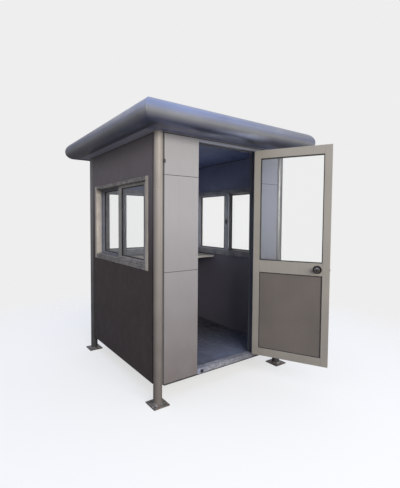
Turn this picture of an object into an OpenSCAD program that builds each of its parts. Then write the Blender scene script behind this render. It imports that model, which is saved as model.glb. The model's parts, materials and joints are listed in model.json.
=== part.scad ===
// Security guard booth: a square cabin hung between four round posts, with a flat
// bullnosed roof, three sliding windows and one outward-opening glazed door.
// X runs along the front, Y from front to back, Z up. The origin is on the ground,
// midway between the four posts. All sizes are in millimetres.

/* [Posts and feet] */
// Spacing of the post axes along the front
post_pitch_x = 1500; // [1250:10:2400]
// Spacing of the post axes along the sides
post_pitch_y = 1500; // [1250:10:2400]
// Outside diameter of the post tubes
post_d = 76; // [60:1:92]
// Wall of the post tubes
post_wall = 3; // [2:0.5:5]
// Side of the square base plates
plate_side = 150; // [125:5:200]
// Thickness of the base plates
plate_t = 10; // [6:1:16]
// Diameter of the anchor holes
anchor_d = 14; // [10:1:18]
// Distance of the anchor holes from the post axis, each way
anchor_offset = 50; // [50:1:55]

/* [Walls] */
// Height of the bottom edge of the walls above the ground
wall_base = 160; // [100:5:300]
// Height of the walls
wall_h = 2106; // [2090:1:2600]
// Thickness of the wall panels
wall_t = 62; // [50:1:80]
// Distance of the outer wall face outside the plane of the post axes
wall_out = 23; // [18:1:30]
// Width of the groove between a post and the panel beside it
post_gap = 10; // [4:1:20]
// Depth of the grooves beside the posts and over the walls
groove_depth = 8; // [3:1:15]
// Height of the shadow channel between the walls and the soffit
channel_h = 12; // [6:1:30]
// Width of the joints between the front panels
joint_w = 4; // [2:1:8]
// Depth of the joints between the front panels
joint_depth = 8; // [3:1:12]

/* [Windows] */
// Distance of the side window frames from the ends of the walls
window_margin = 77; // [20:1:300]
// Distance of the back window frame from the ends of the wall
back_window_margin = 10; // [8:1:300]
// Height over the window frames
window_h = 813; // [600:1:1000]
// Height of the window frames above the bottom edge of the walls
window_sill = 957; // [800:1:1100]
// Face width of the window frames' jambs
window_jamb = 45; // [30:1:60]
// Face height of the window frames' heads
window_head = 34; // [25:1:60]
// Face height of the window frames' sills
window_foot = 50; // [30:1:70]
// How far the window frames stand proud of the outer wall faces
window_proud = 4; // [0:1:10]
// Depth of the window frames
window_depth = 92; // [84:1:110]
// Distance of the inner sash from the window frame's inner face
sash_inset = 4; // [2:1:6]
// Distance of the outer sash from the window frame's outer face
sash_recess = 26; // [4:1:28]
// Thickness of the sashes
sash_t = 18; // [12:1:22]
// Face width of the sash stiles
sash_stile = 70; // [60:1:90]
// Face height of the sash rails
sash_rail = 28; // [20:1:60]
// Overlap of the two sashes where they meet
sash_lap = 66; // [10:1:80]
// Thickness of the window glass
window_glass_t = 5; // [3:1:8]

/* [Doorway] */
// Width of the doorway
doorway_w = 706; // [600:1:900]
// Height of the doorway over the threshold
doorway_h = 2032; // [1900:1:2038]
// Distance of the doorway's middle to the right of the booth's middle
doorway_shift = 4; // [-40:1:40]
// Height of the threshold
threshold_h = 48; // [42:1:80]
// Thickness of the door stop strips
stop_t = 10; // [6:1:20]
// Width of the door stop strips
stop_w = 14; // [8:1:16]
// Gap between the closed door and the stop strips
stop_gap = 5; // [5:1:8]

/* [Door] */
// Gap round the closed door
door_gap = 5; // [5:1:10]
// Gap under and over the closed door
door_gap_z = 6; // [5:1:12]
// Thickness of the door
door_t = 38; // [32:1:45]
// Width of the door stiles
door_stile = 62; // [50:1:90]
// Height of the top rail
door_top_rail = 80; // [60:1:120]
// Height of the middle rail
door_mid_rail = 117; // [90:1:160]
// Height of the middle rail's lower edge over the door's bottom edge
door_mid_z = 834; // [700:1:950]
// Height of the bottom rail
door_low_rail = 76; // [60:1:160]
// Thickness of the door glass
door_glass_t = 6; // [4:1:10]
// Thickness of the lower door panel
door_panel_t = 22; // [10:1:26]
// Width of the glazing beads and gaskets
gasket_w = 7; // [4:1:14]
// How far the gaskets lie below the faces of the door
gasket_drop = 3; // [1:1:4]
// Angle at which the door stands open
door_angle = 118.5; // [0:0.5:165]

/* [Lock and hinges] */
// Distance of the knob axis from the free edge of the door
knob_backset = 104; // [95:1:130]
// Diameter of the knob roses
rose_d = 76; // [60:1:90]
// Thickness of the knob roses
rose_t = 10; // [5:1:14]
// Diameter of the knobs
knob_d = 52; // [40:1:60]
// How far the knobs reach from the faces of the door
knob_reach = 58; // [50:1:75]
// Radius of the lock spindle
spindle_r = 8; // [6:1:12]
// Length of the latch plate
latch_h = 58; // [40:1:120]
// Width of the latch plate
latch_w = 25; // [16:1:30]
// Radius of the hinge knuckles
knuckle_r = 8; // [6:0.5:10]
// Distance of the hinge pin outside the door's outer face
pin_out = 9; // [9:0.5:12]
// Height of each hinge
hinge_h = 100; // [70:5:140]
// Width of each hinge strap from the pin
hinge_w = 36; // [24:1:50]
// Thickness of the hinge straps
strap_t = 2; // [1.5:0.5:4]
// Heights of the hinge centres over the door's bottom edge
hinge_z = [250, 1010, 1730];

/* [Roof] */
// Overhang of the roof beyond the post axes, all round
roof_over = 255; // [180:5:400]
// Radius of the rounded roof edge
nose_r = 95; // [60:1:120]
// Width of the flat stretch behind the rounded edge
nose_flat = 30; // [15:1:60]
// How far the soffit and the deck lie inside the edge's depth
nose_step = 6; // [2:1:12]
// Thickness of the soffit
soffit_t = 30; // [12:1:50]
// Thickness of the roof deck
deck_t = 30; // [12:1:50]

/* [Floor and desk] */
// Depth of the floor frame
floor_frame_h = 25; // [20:1:40]
// Width of the floor frame's members
floor_frame_w = 50; // [30:1:80]
// Thickness of the floor panel
floor_t = 15; // [9:1:25]
// Depth of the desk from the back wall
desk_depth = 450; // [300:10:600]
// Thickness of the desk
desk_t = 25; // [16:1:40]
// Distance of the desk top below the window frames
desk_drop = 21; // [0:1:100]
// Clearance of the desk and floor round the corner pieces
corner_clear = 0.5; // [0.2:0.1:2]

/* [Hidden] */
$fn = 96;
// Clearance of the fillings round the posts, and of the lock spindle in the door
post_fit = 0.2;
// Clearance of the head stop strip between the side ones
stop_joint = 2;
// The parts of a knob's outline: the rim's height of its rose, the rose's slope and
// dish, the neck, and how far the knob's widest stretch lies below its end
rose_rim = 6;
rose_slope = 7;
rose_bevel = 2;
neck_step = 2;
neck_foot = 6;
neck_top_r = 18.7;
neck_end = 26;
knob_low = 18;
knob_high = 8;
knob_end_r = 19.8;
post_x = post_pitch_x / 2;
post_y = post_pitch_y / 2;
post_r = post_d / 2;
wall_top = wall_base + wall_h;
soffit_z = wall_top + channel_h;
outer_x = post_x + wall_out;
outer_y = post_y + wall_out;
inner_x = outer_x - wall_t;
inner_y = outer_y - wall_t;
end_x = min(post_x - post_r - post_gap, inner_x);
end_y = min(post_y - post_r - post_gap, inner_y);
window_z = wall_base + window_sill;
window_top = window_z + window_h;
sash_z0 = window_z + window_foot;
sash_z1 = window_top - window_head;
door_x0 = doorway_shift - doorway_w / 2;
door_x1 = doorway_shift + doorway_w / 2;
threshold_top = wall_base + threshold_h;
doorway_top = threshold_top + doorway_h;
leaf_x0 = door_x0 + door_gap;
leaf_x1 = door_x1 - door_gap;
leaf_z0 = threshold_top + door_gap_z;
leaf_z1 = doorway_top - door_gap_z;
leaf_y0 = -outer_y;
leaf_mid_y = leaf_y0 + door_t / 2;
pane_x0 = leaf_x0 + door_stile;
pane_x1 = leaf_x1 - door_stile;
glass_z0 = leaf_z0 + door_mid_z + door_mid_rail;
glass_z1 = leaf_z1 - door_top_rail;
panel_z0 = leaf_z0 + door_low_rail;
panel_z1 = leaf_z0 + door_mid_z;
knob_x = leaf_x0 + knob_backset;
knob_z = panel_z1 + door_mid_rail / 2;
pin_x = door_x1 - door_gap / 2;
pin_y = leaf_y0 - pin_out;
// Width of the webs that join a hinge's straps to its knuckles
web_w = knuckle_r + 1;
// Gap between the knuckles of a hinge
knuckle_gap = 0.5;
// Gap between the two knobs' spindles, inside the door
spindle_joint = 1;
roof_x = post_x + roof_over;
roof_y = post_y + roof_over;
nose_z = soffit_z - nose_step;
roof_in_x = roof_x - nose_r - nose_flat;
roof_in_y = roof_y - nose_r - nose_flat;
floor_z = wall_base + floor_frame_h;
desk_z = window_z - desk_drop - desk_t;

metal = [0.66, 0.65, 0.64];
panel_grey = [0.64, 0.62, 0.62];
wall_grey = [0.42, 0.42, 0.45];
aluminium = [0.62, 0.60, 0.57];
beige = [0.72, 0.69, 0.65];
dark = [0.14, 0.14, 0.15];
glass = [0.8, 0.88, 0.9, 0.35];

// A box from its low corner to its high corner
module box(low, high) {
    translate(low) cube(high - low);
}

// A rectangular ring standing in the XZ plane, from y = 0 to y = depth. Its sides are
// side wide, its foot and its head are foot and head high
module ring(low, high, side, foot, head, depth) {
    difference() {
        box([low[0], 0, low[1]], [high[0], depth, high[1]]);
        box([low[0] + side, -1, low[1] + foot], [high[0] - side, depth + 1, high[1] - head]);
    }
}

// A post tube, standing on its base plate and reaching up to the soffit
module post(side_x, side_y) {
    color(beige) translate([side_x * post_x, side_y * post_y, plate_t]) difference() {
        cylinder(h = soffit_z - plate_t, r = post_r);
        translate([0, 0, -1]) cylinder(h = soffit_z - plate_t + 2, r = post_r - post_wall);
    }
}

module base_plates() {
    color(metal) for (side_x = [-1, 1], side_y = [-1, 1])
        translate([side_x * post_x, side_y * post_y, 0]) difference() {
            box([-plate_side / 2, -plate_side / 2, 0], [plate_side / 2, plate_side / 2, plate_t]);
            for (x = [-1, 1], y = [-1, 1])
                translate([x * anchor_offset, y * anchor_offset, -1])
                    cylinder(h = plate_t + 2, d = anchor_d);
        }
}

// The four upright corner spaces that the corner pieces fill, grown by clear
module corner_spaces(z0, z1, clear) {
    for (side_x = [-1, 1], side_y = [-1, 1])
        translate([side_x < 0 ? -outer_x : end_x - clear, side_y < 0 ? -outer_y : end_y - clear, z0])
            cube([outer_x - end_x + clear, outer_y - end_y + clear, z1 - z0]);
}

// The floor frame: a border and one member down the middle
module floor_frame() {
    color(metal) difference() {
        box([-inner_x, -inner_y, wall_base], [inner_x, inner_y, floor_z]);
        for (side = [-1, 1])
            translate([side < 0 ? floor_frame_w - inner_x : floor_frame_w / 2,
                    floor_frame_w - inner_y, wall_base - 1])
                cube([inner_x - floor_frame_w - floor_frame_w / 2, 2 * (inner_y - floor_frame_w),
                    floor_frame_h + 2]);
        corner_spaces(wall_base - 1, floor_z + 1, corner_clear);
    }
}

module floor_panel() {
    color([0.45, 0.47, 0.52]) difference() {
        box([-inner_x, -inner_y, floor_z], [inner_x, inner_y, floor_z + floor_t]);
        corner_spaces(floor_z - 1, floor_z + floor_t + 1, corner_clear);
    }
}

module threshold() {
    color(aluminium)
        box([door_x0, -outer_y, wall_base], [door_x1, -inner_y, threshold_top]);
}

// One front panel; a rebate along its upper edge leaves the joint below the next panel
module front_panel(x0, x1, z0, z1, with_joint) {
    color(panel_grey) difference() {
        box([x0, -outer_y, z0], [x1, -inner_y, z1]);
        if (with_joint) {
            box([x0 - 1, -outer_y - 1, z1 - joint_w], [x1 + 1, joint_depth - outer_y, z1 + 1]);
            for (x = [door_x0, door_x1])
                box([x - joint_depth, -outer_y - 1, z1 - joint_w], [x + joint_depth, 1 - inner_y, z1 + 1]);
        }
    }
}

module front_panel_left(level) {
    front_panel(-end_x, door_x0, level_z(level), level_z(level + 1), level < 2);
}

module front_panel_right(level) {
    front_panel(door_x1, end_x, level_z(level), level_z(level + 1), level < 2);
}

// Heights of the front panels' edges, which line up with the windows
function level_z(level) = [wall_base, window_z, window_top, wall_top][level];

module door_head() {
    color(aluminium)
        box([door_x0, -outer_y, doorway_top], [door_x1, -inner_y, wall_top]);
}

module door_stops() {
    y0 = leaf_y0 + door_t + stop_gap;
    color(dark) {
        box([door_x0, y0, threshold_top], [door_x0 + stop_t, y0 + stop_w, doorway_top]);
        box([door_x1 - stop_t, y0, threshold_top], [door_x1, y0 + stop_w, doorway_top]);
        box([door_x0 + stop_t + stop_joint, y0, doorway_top - stop_t],
            [door_x1 - stop_t - stop_joint, y0 + stop_w, doorway_top]);
    }
}

// Turns what is drawn for the back wall to another wall: 0 back, 90 left, -90 right
module on_side(turn) {
    rotate([0, 0, turn]) children();
}

// Outer face and half length of the wall that a turn leads to
function outer_of(turn) = turn == 0 ? outer_y : outer_x;
function wall_half(turn) = turn == 0 ? end_x : end_y;
function window_half(turn) = wall_half(turn) - (turn == 0 ? back_window_margin : window_margin);

// A wall with a window hole
module wall(turn) {
    color(wall_grey) on_side(turn) difference() {
        box([-wall_half(turn), outer_of(turn) - wall_t, wall_base],
            [wall_half(turn), outer_of(turn), wall_top]);
        box([-window_half(turn), outer_of(turn) - wall_t - 1, window_z],
            [window_half(turn), outer_of(turn) + 1, window_top]);
    }
}

// The fillings round the posts, which close the corners between the wall panels
module corner_seals() {
    depth_x = outer_x - groove_depth - end_x;
    depth_y = outer_y - groove_depth - end_y;
    color(dark) for (side_x = [-1, 1], side_y = [-1, 1]) difference() {
        translate([side_x < 0 ? groove_depth - outer_x : end_x,
                side_y < 0 ? groove_depth - outer_y : end_y, wall_base])
            cube([depth_x, depth_y, soffit_z - wall_base]);
        translate([side_x * post_x, side_y * post_y, wall_base - 1])
            cylinder(h = soffit_z - wall_base + 2, r = post_r + post_fit);
    }
}

module top_channels() {
    color(dark) for (side = [-1, 1]) {
        translate([-end_x, side < 0 ? groove_depth - outer_y : inner_y, wall_top])
            cube([2 * end_x, wall_t - groove_depth, channel_h]);
        translate([side < 0 ? groove_depth - outer_x : inner_x, -end_y, wall_top])
            cube([wall_t - groove_depth, 2 * end_y, channel_h]);
    }
}

module window_frame(turn) {
    color(aluminium) on_side(turn)
        translate([0, outer_of(turn) + window_proud - window_depth, 0])
            ring([-window_half(turn), window_z], [window_half(turn), window_top],
                window_jamb, window_foot, window_head, window_depth);
}

// Both sashes of a window: the outer one fills the half on the side given
module window_sashes(turn, outer_side) {
    color(aluminium) on_side(turn)
        for (track = [0, 1]) sash_place(turn, outer_side, track)
            ring([-sash_lap / 2, sash_z0], [window_half(turn) - window_jamb, sash_z1],
                sash_stile, sash_rail, sash_rail, sash_t);
}

module window_glass(turn, outer_side) {
    color(glass) on_side(turn)
        for (track = [0, 1]) sash_place(turn, outer_side, track)
            box([sash_stile - sash_lap / 2, (sash_t - window_glass_t) / 2, sash_z0 + sash_rail],
                [window_half(turn) - window_jamb - sash_stile, (sash_t + window_glass_t) / 2,
                    sash_z1 - sash_rail]);
}

// Puts a sash, drawn from the middle towards +X, on the inner (0) or outer (1) track
module sash_place(turn, outer_side, track) {
    inner_face = outer_of(turn) + window_proud - window_depth + sash_inset;
    side = track == 1 ? outer_side : -outer_side;
    translate([0, inner_face + track * (window_depth - sash_t - sash_inset - sash_recess), 0])
        mirror([side < 0 ? 1 : 0, 0, 0]) children();
}

module desk() {
    color(beige) difference() {
        box([-inner_x, inner_y - desk_depth, desk_z], [inner_x, inner_y, desk_z + desk_t]);
        corner_spaces(desk_z - 1, desk_z + desk_t + 1, corner_clear);
    }
}

module soffit() {
    color(wall_grey)
        box([-roof_in_x, -roof_in_y, soffit_z], [roof_in_x, roof_in_y, soffit_z + soffit_t]);
}

module roof_deck() {
    top = nose_z + 2 * nose_r - nose_step;
    color(wall_grey) box([-roof_in_x, -roof_in_y, top - deck_t], [roof_in_x, roof_in_y, top]);
}

// A rounded roof edge with mitred ends, drawn along the front
module roof_edge(half_span, reach) {
    back = reach - nose_r - nose_flat;
    color(wall_grey) intersection() {
        translate([0, 0, nose_z - 1]) linear_extrude(2 * nose_r + 2)
            polygon([[-half_span, -reach], [half_span, -reach],
                [half_span - reach + back, -back], [reach - back - half_span, -back]]);
        union() {
            translate([-half_span - 1, nose_r - reach, nose_z + nose_r]) rotate([0, 90, 0])
                cylinder(h = 2 * half_span + 2, r = nose_r);
            box([-half_span - 1, nose_r - reach, nose_z], [half_span + 1, -back, nose_z + 2 * nose_r]);
        }
    }
}

// Puts the door's pieces, drawn closed, at the angle where the door stands
module door_place() {
    translate([pin_x, pin_y, 0]) rotate([0, 0, door_angle]) translate([-pin_x, -pin_y, 0]) children();
}

module door_leaf() {
    lock_r = spindle_r + post_fit;
    color(beige) door_place() difference() {
        box([leaf_x0, leaf_y0, leaf_z0], [leaf_x1, leaf_y0 + door_t, leaf_z1]);
        box([pane_x0, leaf_y0 - 1, glass_z0], [pane_x1, leaf_y0 + door_t + 1, glass_z1]);
        box([pane_x0, leaf_y0 - 1, panel_z0], [pane_x1, leaf_y0 + door_t + 1, panel_z1]);
        translate([knob_x, leaf_y0 - 1, knob_z]) rotate([-90, 0, 0])
            cylinder(h = door_t + 2, r = lock_r);
        box([leaf_x0 - 1, leaf_mid_y - latch_w / 2, knob_z - latch_h / 2],
            [leaf_x0 + strap_t, leaf_mid_y + latch_w / 2, knob_z + latch_h / 2]);
    }
}

module door_glass() {
    color(glass) door_place()
        box([pane_x0, leaf_mid_y - door_glass_t / 2, glass_z0],
            [pane_x1, leaf_mid_y + door_glass_t / 2, glass_z1]);
}

module door_panel() {
    color([0.38, 0.36, 0.36]) door_place()
        box([pane_x0, leaf_mid_y - door_panel_t / 2, panel_z0],
            [pane_x1, leaf_mid_y + door_panel_t / 2, panel_z1]);
}

// The gaskets that hold the glass and the panel, on both faces of the door
module door_gaskets() {
    color(dark) door_place() {
        gasket_pair(glass_z0, glass_z1, door_glass_t);
        gasket_pair(panel_z0, panel_z1, door_panel_t);
    }
}

module gasket_pair(z0, z1, pane_t) {
    depth = (door_t - pane_t) / 2 - gasket_drop;
    for (y = [leaf_y0 + gasket_drop, leaf_mid_y + pane_t / 2])
        translate([0, y, 0])
            ring([pane_x0, z0], [pane_x1, z1], gasket_w, gasket_w, gasket_w, depth);
}

// The knob on each face
module door_knobs() {
    color([0.5, 0.48, 0.46]) door_place() {
        translate([knob_x, leaf_y0 + door_t, knob_z]) rotate([-90, 0, 0]) knob();
        translate([knob_x, leaf_y0, knob_z]) rotate([90, 0, 0]) knob();
    }
}

// A spindle, a domed rose, a neck and a round knob, turned in one piece
module knob() {
    half = (door_t - spindle_joint) / 2;
    rotate_extrude() polygon([[0, -half], [spindle_r, -half], [spindle_r, 0], [rose_d / 2, 0],
        [rose_d / 2 - rose_bevel, min(rose_rim, rose_t)], [rose_d / 2 - rose_bevel - rose_slope, rose_t],
        [spindle_r + 2 * neck_step, rose_t], [spindle_r + neck_step, rose_t + neck_foot],
        [min(neck_top_r, knob_d / 2), knob_reach - neck_end], [knob_d / 2, knob_reach - knob_low],
        [knob_d / 2, knob_reach - knob_high], [min(knob_end_r, knob_d / 2), knob_reach],
        [0, knob_reach]]);
}

module door_latch() {
    color(metal) door_place()
        box([leaf_x0, leaf_mid_y - latch_w / 2, knob_z - latch_h / 2],
            [leaf_x0 + strap_t, leaf_mid_y + latch_w / 2, knob_z + latch_h / 2]);
}

// One hinge half: a strap on the face, joined to its knuckles by short webs.
// side is 1 on the post side and -1 on the door side
module hinge_half(side, spans) {
    for (z = hinge_z) translate([pin_x, pin_y, leaf_z0 + z - hinge_h / 2]) {
        translate([side > 0 ? web_w : -hinge_w, pin_out - strap_t, 0])
            cube([hinge_w - web_w, strap_t, hinge_h]);
        for (span = spans) translate([0, 0, span[0]]) {
            cylinder(h = span[1] - span[0], r = knuckle_r);
            translate([side > 0 ? 0 : -web_w - 1, pin_out - strap_t, 0])
                cube([web_w + 1, strap_t, span[1] - span[0]]);
        }
    }
}

module hinge_fixed_leaves() {
    third = hinge_h / 3;
    color(metal) hinge_half(1, [[0, third], [2 * third, hinge_h]]);
}

module hinge_door_leaves() {
    third = hinge_h / 3;
    color(metal) door_place() hinge_half(-1, [[third + knuckle_gap, 2 * third - knuckle_gap]]);
}

post(-1, -1);  // post_front_left
post(1, -1);  // post_front_right
post(-1, 1);  // post_back_left
post(1, 1);  // post_back_right
base_plates();
floor_frame();
floor_panel();
threshold();
front_panel_left(0);  // front_panel_left_low
front_panel_left(1);  // front_panel_left_middle
front_panel_left(2);  // front_panel_left_top
front_panel_right(0);  // front_panel_right_low
front_panel_right(1);  // front_panel_right_middle
front_panel_right(2);  // front_panel_right_top
door_head();
door_stops();
wall(90);  // left_wall
wall(-90);  // right_wall
wall(0);  // back_wall
corner_seals();
top_channels();
window_frame(90);  // left_window_frame
window_sashes(90, -1);  // left_window_sashes
window_glass(90, -1);  // left_window_glass
window_frame(-90);  // right_window_frame
window_sashes(-90, 1);  // right_window_sashes
window_glass(-90, 1);  // right_window_glass
window_frame(0);  // back_window_frame
window_sashes(0, 1);  // back_window_sashes
window_glass(0, 1);  // back_window_glass
desk();
soffit();
roof_deck();
roof_edge(roof_x, roof_y);  // roof_edge_front
rotate([0, 0, 180]) roof_edge(roof_x, roof_y);  // roof_edge_back
rotate([0, 0, -90]) roof_edge(roof_y, roof_x);  // roof_edge_left
rotate([0, 0, 90]) roof_edge(roof_y, roof_x);  // roof_edge_right
hinge_fixed_leaves();
door_leaf();
door_glass();
door_panel();
door_gaskets();
door_knobs();
door_latch();
hinge_door_leaves();
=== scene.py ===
import json
import math

import bmesh
import bpy
from mathutils import Matrix, Vector


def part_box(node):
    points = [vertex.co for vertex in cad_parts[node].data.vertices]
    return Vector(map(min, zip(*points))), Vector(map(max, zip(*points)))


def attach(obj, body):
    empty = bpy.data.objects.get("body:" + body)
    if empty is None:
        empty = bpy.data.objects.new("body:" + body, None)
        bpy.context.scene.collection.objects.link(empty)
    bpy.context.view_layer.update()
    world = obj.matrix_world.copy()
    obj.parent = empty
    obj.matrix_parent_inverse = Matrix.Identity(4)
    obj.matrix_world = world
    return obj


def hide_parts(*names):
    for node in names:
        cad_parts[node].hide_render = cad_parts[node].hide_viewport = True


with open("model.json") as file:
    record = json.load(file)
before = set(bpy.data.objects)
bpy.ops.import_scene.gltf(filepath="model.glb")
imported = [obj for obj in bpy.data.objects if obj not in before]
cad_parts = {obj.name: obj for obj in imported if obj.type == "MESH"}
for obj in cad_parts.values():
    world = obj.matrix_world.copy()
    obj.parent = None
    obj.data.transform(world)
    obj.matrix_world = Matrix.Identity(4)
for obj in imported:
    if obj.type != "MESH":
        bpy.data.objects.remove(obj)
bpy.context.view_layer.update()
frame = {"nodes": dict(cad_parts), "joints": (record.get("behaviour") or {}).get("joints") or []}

# ---------------------------------------------------------------- viewpoint
# A standing person's eye, some way out from the front left corner, looking across the
# front to the open door through a short lens.
eye = Vector((-2.1653, -3.1271, 1.5548))
turn, nod, roll = math.radians(34.1), math.radians(-2.62), math.radians(0.26)
ahead = Vector((math.sin(turn) * math.cos(nod), math.cos(turn) * math.cos(nod), math.sin(nod)))
level_right = Vector((math.cos(turn), -math.sin(turn), 0))
level_up = level_right.cross(ahead)
right = level_right * math.cos(roll) + level_up * math.sin(roll)
up = level_up * math.cos(roll) - level_right * math.sin(roll)

camera = bpy.data.objects.new("camera", bpy.data.cameras.new("camera"))
bpy.context.scene.collection.objects.link(camera)
camera.data.lens = 24.71
camera.data.sensor_width = 36
camera.data.shift_x = 0.0463
camera.data.shift_y = -0.0178
camera.matrix_world = Matrix.Translation(eye) @ Matrix((right, up, -ahead)).transposed().to_4x4()
bpy.context.scene.camera = camera
bpy.context.scene.view_settings.view_transform = "Standard"

# ---------------------------------------------------------------- studio
# Seen directly or through glass the room is white, with a pale floor that fades into it.
# The light comes from a banded sky, cool at the top, a duller ground, and a large soft
# lamp before the front, which leaves the left wall in shade.


def add_node(tree, kind, inputs=None, **settings):
    """A shader node with its settings; an input takes a value or another node's output."""
    node = tree.nodes.new("ShaderNode" + kind)
    for name, value in settings.items():
        setattr(node, name, value)
    for name, value in (inputs or {}).items():
        if isinstance(value, bpy.types.NodeSocket):
            tree.links.new(value, node.inputs[name])
        else:
            node.inputs[name].default_value = value
    return node


room = bpy.data.worlds.new("room")
bpy.context.scene.world = room
room.use_nodes = True
room.node_tree.nodes.clear()
direction = add_node(room.node_tree, "TexCoord").outputs["Generated"]
direction_parts = add_node(room.node_tree, "SeparateXYZ", {"Vector": direction})
lift = add_node(room.node_tree, "ValToRGB", {"Fac": direction_parts.outputs["Z"]})
sky_steps = ((0.0, (0.18, 0.17, 0.17)), (0.34, (0.26, 0.26, 0.30)), (0.56, (0.72, 0.70, 0.66)),
    (0.74, (0.52, 0.62, 0.92)), (1.0, (0.66, 0.82, 1.30)))
sky = lift.color_ramp
sky.elements[1].position = 1.0
sky.elements[0].color = (*sky_steps[0][1], 1)
sky.elements[1].color = (*sky_steps[-1][1], 1)
for height, colour in sky_steps[1:-1]:
    sky.elements.new(height).color = (*colour, 1)
above = add_node(room.node_tree, "Math", {0: direction_parts.outputs["Z"], 1: -0.02},
    operation="GREATER_THAN")
ground = add_node(room.node_tree, "MixRGB", {"Fac": above.outputs[0],
    "Color1": (0.13, 0.125, 0.12, 1), "Color2": lift.outputs["Color"]})
side_light = add_node(room.node_tree, "MapRange", {"Value": direction_parts.outputs["X"],
    "From Min": -1.0, "From Max": 0.6, "To Min": 1.2, "To Max": 1.15})
lit = add_node(room.node_tree, "Background", {
    "Color": ground.outputs["Color"], "Strength": side_light.outputs["Result"]})
white = add_node(room.node_tree, "Background", {"Color": (0.855, 0.855, 0.855, 1), "Strength": 1.0})
path = add_node(room.node_tree, "LightPath")
straight = add_node(room.node_tree, "Math", {0: path.outputs["Is Camera Ray"],
    1: path.outputs["Is Transmission Ray"]}, operation="MAXIMUM").outputs[0]
mixed = add_node(room.node_tree, "MixShader", {"Fac": straight})
room.node_tree.links.new(lit.outputs[0], mixed.inputs[1])
room.node_tree.links.new(white.outputs[0], mixed.inputs[2])
room_out = add_node(room.node_tree, "OutputWorld")
room.node_tree.links.new(mixed.outputs[0], room_out.inputs[0])


def soft_lamp(name, place, aim, size, power, colour):
    """A large rectangular lamp at place, turned to aim."""
    lamp = bpy.data.lights.new(name, "AREA")
    lamp.shape = "RECTANGLE"
    lamp.size, lamp.size_y = size
    lamp.energy = power
    lamp.color = colour
    holder = bpy.data.objects.new(name, lamp)
    bpy.context.scene.collection.objects.link(holder)
    holder.location = place
    holder.rotation_euler = (Vector(aim) - Vector(place)).to_track_quat("-Z", "Y").to_euler()
    holder.visible_glossy = False


soft_lamp("front_lamp", (-1.2, -9.0, 3.6), (0.0, -0.7, 1.2), (7, 5), 950, (1.0, 0.965, 0.92))

floor_bm = bmesh.new()
bmesh.ops.create_circle(floor_bm, cap_ends=True, radius=14, segments=96,
    matrix=Matrix.Translation((0, 0, -0.001)))
floor_mesh = bpy.data.meshes.new("studio_floor")
floor_bm.to_mesh(floor_mesh)
floor_bm.free()
studio_floor = bpy.data.objects.new("studio_floor", floor_mesh)
bpy.context.scene.collection.objects.link(studio_floor)
floor_paint = bpy.data.materials.new("studio_floor")
floor_paint.use_nodes = True
floor_tree = floor_paint.node_tree
floor_tree.nodes.clear()
floor_place = add_node(floor_tree, "TexCoord").outputs["Object"]
from_middle = add_node(floor_tree, "VectorMath", {0: floor_place}, operation="LENGTH").outputs["Value"]
fade = add_node(floor_tree, "MapRange", {"Value": from_middle, "From Min": 1.9, "From Max": 4.2},
    interpolation_type="SMOOTHSTEP").outputs["Result"]
pale = add_node(floor_tree, "BsdfDiffuse", {"Color": (0.30, 0.30, 0.285, 1)})
glow = add_node(floor_tree, "Emission", {"Color": (1, 1, 1, 1), "Strength": 0.62})
lighter = add_node(floor_tree, "AddShader")
floor_tree.links.new(pale.outputs[0], lighter.inputs[0])
floor_tree.links.new(glow.outputs[0], lighter.inputs[1])
dull = add_node(floor_tree, "BsdfDiffuse", {"Color": (0.15, 0.14, 0.13, 1)})
floor_path = add_node(floor_tree, "LightPath")
looked_at = add_node(floor_tree, "Math", {0: floor_path.outputs["Is Camera Ray"],
    1: floor_path.outputs["Is Transmission Ray"]}, operation="MAXIMUM").outputs[0]
ground_mix = add_node(floor_tree, "MixShader", {"Fac": looked_at})
floor_tree.links.new(dull.outputs[0], ground_mix.inputs[1])
floor_tree.links.new(lighter.outputs[0], ground_mix.inputs[2])
clear = add_node(floor_tree, "BsdfTransparent")
faded = add_node(floor_tree, "MixShader", {"Fac": fade})
floor_tree.links.new(ground_mix.outputs[0], faded.inputs[1])
floor_tree.links.new(clear.outputs[0], faded.inputs[2])
floor_out = add_node(floor_tree, "OutputMaterial")
floor_tree.links.new(faded.outputs[0], floor_out.inputs[0])
floor_mesh.materials.append(floor_paint)

# ---------------------------------------------------------------- posts
# Four steel tubes with a satin spray coat, darker towards the foot: silver-beige on the front
# left one, and on the others a duller grey, which is painted shade. They carry the roof and
# the wall panels, and stand on welded base plates.


def spread(tree, value, low, high, start=0.0, end=1.0):
    """Runs from start, where the value is low, to end, where it is high."""
    run = add_node(tree, "MapRange", {"Value": value, "From Min": low, "From Max": high,
        "To Min": start, "To Max": end})
    return run.outputs["Result"]


def place_along(tree, axis):
    """Where a point of the surface lies along X, Y or Z, in metres."""
    place = add_node(tree, "TexCoord").outputs["Object"]
    return add_node(tree, "SeparateXYZ", {"Vector": place}).outputs[axis]


def clouds(tree, size, low=0.4, high=0.6, squeeze=(1, 1, 1), detail=3.0):
    """Soft patches of about the given size in metres, as a share from 0 to 1."""
    place = add_node(tree, "TexCoord").outputs["Object"]
    scaled = add_node(tree, "Mapping", {"Vector": place, "Scale": [s / size for s in squeeze]})
    noise = add_node(tree, "TexNoise", {"Vector": scaled.outputs["Vector"], "Scale": 1.0,
        "Detail": detail})
    return spread(tree, noise.outputs["Fac"], low, high)


def height_share(tree, low, high):
    """From 1 at the height low to 0 at the height high, in metres."""
    return spread(tree, place_along(tree, "Z"), low, high, 1.0, 0.0)


def product(tree, a, b):
    """One share of paint times another."""
    return add_node(tree, "Math", {0: a, 1: b}, operation="MULTIPLY").outputs[0]


def over(tree, share, under, top):
    """The colour top laid over the colour under, by share."""
    return add_node(tree, "MixRGB", {"Fac": share, "Color1": under, "Color2": top}).outputs["Color"]


def blank(name):
    """A new material with its shader and its tree."""
    material = bpy.data.materials.new(name)
    material.use_nodes = True
    tree = material.node_tree
    return material, tree, tree.nodes["Principled BSDF"]


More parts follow.
